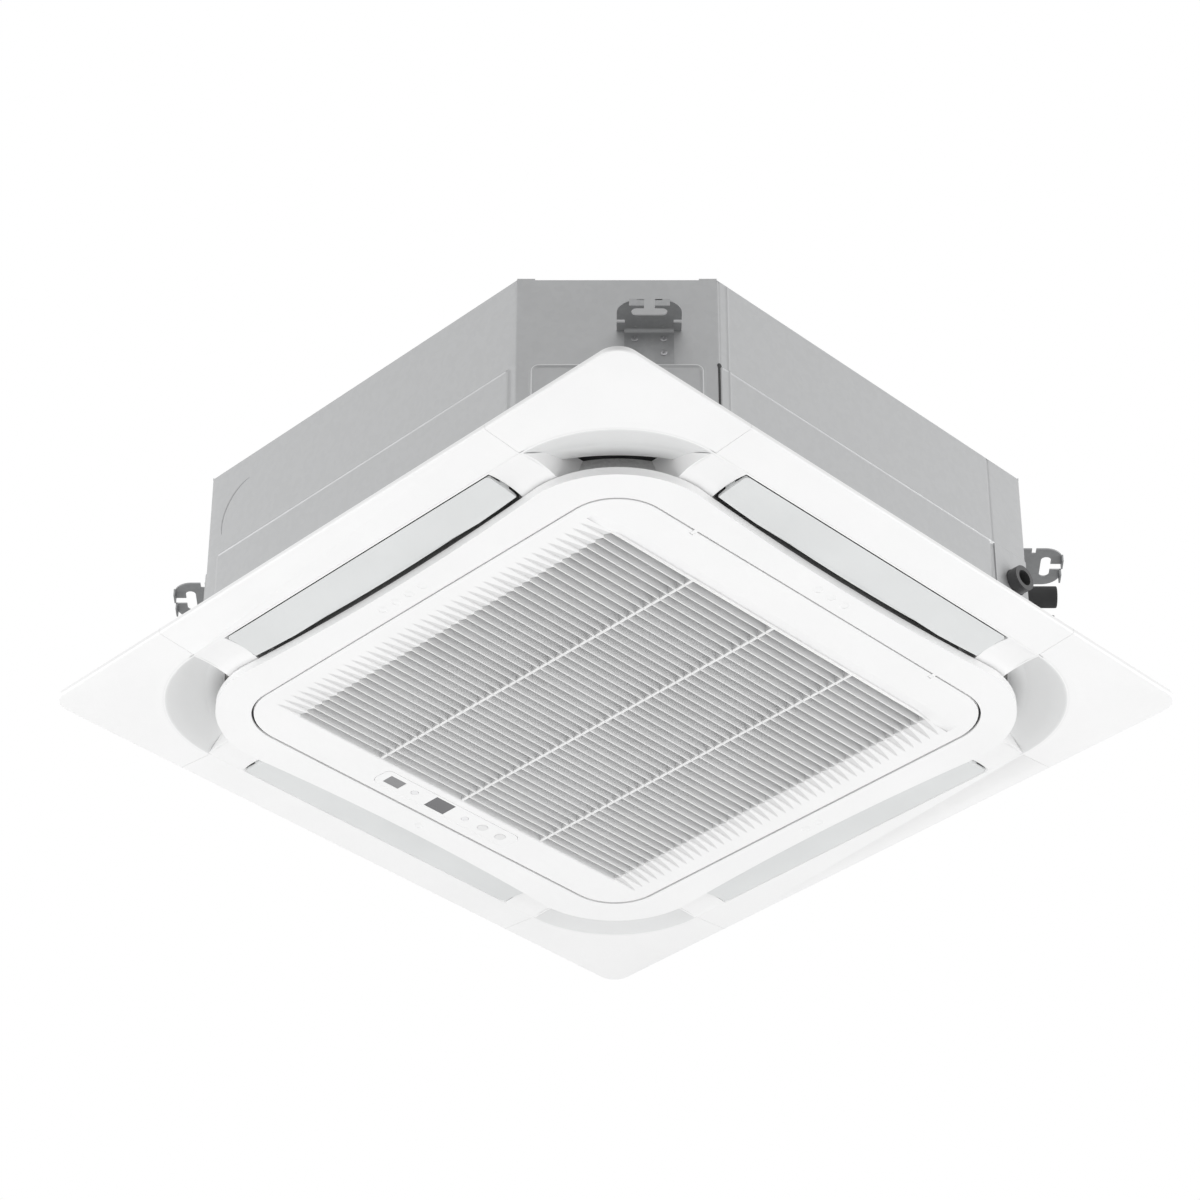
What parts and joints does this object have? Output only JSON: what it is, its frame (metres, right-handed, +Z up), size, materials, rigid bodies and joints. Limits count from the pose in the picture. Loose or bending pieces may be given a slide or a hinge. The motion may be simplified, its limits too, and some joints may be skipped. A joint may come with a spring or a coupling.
{
  "type": "ceiling cassette air conditioner",
  "caption": "Square white fascia with louvred side outlets, open corner outlets and a hinged slatted intake grille, under a galvanized octagonal body that hangs on rods above the ceiling.",
  "frame": {"origin": "centre of the fascia panel in the plane of the ceiling, which is the top of the panel's rim", "axes": "+Z up, +X and +Y along the panel's sides; the pipes leave at the (+X, +Y) corner and the display is on the -X side"},
  "size_m": [0.95, 0.95, 0.2693],
  "materials": {
    "galvanized": "matte",
    "bracket_steel": "satin",
    "screw_steel": "satin",
    "foam": "matte",
    "fin_aluminium": "satin",
    "copper": "satin",
    "white_plastic": "satin",
    "louvre_plastic": "matte",
    "fan_plastic": "matte",
    "black_rubber": "matte",
    "dark_plastic": "matte",
    "motor_paint": "satin",
    "board": "satin",
    "filter_plastic": "matte",
    "filter_net": "matte",
    "window_plastic": "gloss",
    "orange_plastic": "matte",
    "button_plastic": "satin"
  },
  "bodies": {
    "housing": {"casing_shell": "galvanized", "top_plate": "galvanized", "hanger_brackets": "bracket_steel", "body_screws": "screw_steel", "pipe_cover": "galvanized", "foam_liner": "foam", "coil_fins": "fin_aluminium", "coil_tubes": "copper", "coil_end_plates": "galvanized", "coil_stays": "galvanized", "coil_partition": "galvanized", "drain_pan": "foam", "drain_plug": "black_rubber", "pan_screws": "screw_steel", "bell_mouth": "fan_plastic", "motor_base": "galvanized", "motor_dampers": "black_rubber", "fan_motor": "motor_paint", "motor_bearings": "screw_steel", "pump_body": "fan_plastic", "pump_bracket": "galvanized", "drain_hose": "black_rubber", "drain_outlet": "dark_plastic", "float_stem": "fan_plastic", "gas_pipe": "copper", "liquid_pipe": "copper", "pipe_caps": "dark_plastic", "control_box": "galvanized", "control_box_cover": "galvanized", "control_board": "board", "terminal_block": "dark_plastic", "panel_frame": "white_plastic", "panel_ring": "white_plastic", "panel_screws": "screw_steel", "panel_seals": "black_rubber", "corner_cover_1": "white_plastic", "corner_cover_2": "white_plastic", "corner_cover_3": "white_plastic", "corner_cover_4": "white_plastic", "louvre_motors": "dark_plastic"},
    "fan": {"fan_wheel": "fan_plastic", "fan_nut": "screw_steel", "motor_shaft": "screw_steel"},
    "louvre_1": {"louvre_1": "louvre_plastic"},
    "louvre_2": {"louvre_2": "louvre_plastic"},
    "louvre_3": {"louvre_3": "louvre_plastic"},
    "louvre_4": {"louvre_4": "louvre_plastic"},
    "pump_impeller": {"pump_impeller": "fan_plastic"},
    "float": {"float": "orange_plastic"},
    "grille": {"intake_grille": "white_plastic", "grille_hinge_pins": "screw_steel", "grille_catches": "white_plastic", "filter_frame": "filter_plastic", "filter_mesh": "filter_net", "display_cover": "white_plastic", "display_windows": "window_plastic", "display_board": "board"},
    "button_1": {"button_1": "button_plastic"},
    "button_2": {"button_2": "button_plastic"}
  },
  "joints": [
    {"name": "fan_spin", "type": "hinge", "parent": "housing", "child": "fan", "pos_m": [0, 0, 0.15], "axis": [0, 0, 1], "continuous": true},
    {"name": "louvre_1_tilt", "type": "hinge", "parent": "housing", "child": "louvre_1", "pos_m": [0.393, 0, -0.001], "axis": [0, 1, 0], "range_deg": [0, 40]},
    {"name": "louvre_2_tilt", "type": "hinge", "parent": "housing", "child": "louvre_2", "pos_m": [0, 0.393, -0.001], "axis": [-1, 0, 0], "range_deg": [0, 40]},
    {"name": "louvre_3_tilt", "type": "hinge", "parent": "housing", "child": "louvre_3", "pos_m": [-0.393, 0, -0.001], "axis": [0, -1, 0], "range_deg": [0, 40]},
    {"name": "louvre_4_tilt", "type": "hinge", "parent": "housing", "child": "louvre_4", "pos_m": [0, -0.393, -0.001], "axis": [1, 0, 0], "range_deg": [0, 40]},
    {"name": "pump_spin", "type": "hinge", "parent": "housing", "child": "pump_impeller", "pos_m": [0.30123, 0.28143, 0.06], "axis": [0, 0, 1], "continuous": true},
    {"name": "float_rise", "type": "slide", "parent": "housing", "child": "float", "axis": [0, 0, 1], "range_m": [0, 0.012]},
    {"name": "grille_swing", "type": "hinge", "parent": "housing", "child": "grille", "pos_m": [0.3164, 0, -0.0246], "axis": [0, -1, 0], "range_deg": [0, 90]},
    {"name": "button_1_press", "type": "slide", "parent": "grille", "child": "button_1", "axis": [0, 0, 1], "range_m": [0, 0.0008], "stiffness_N_per_m": 200},
    {"name": "button_2_press", "type": "slide", "parent": "grille", "child": "button_2", "axis": [0, 0, 1], "range_m": [0, 0.0008], "stiffness_N_per_m": 200}
  ]
}
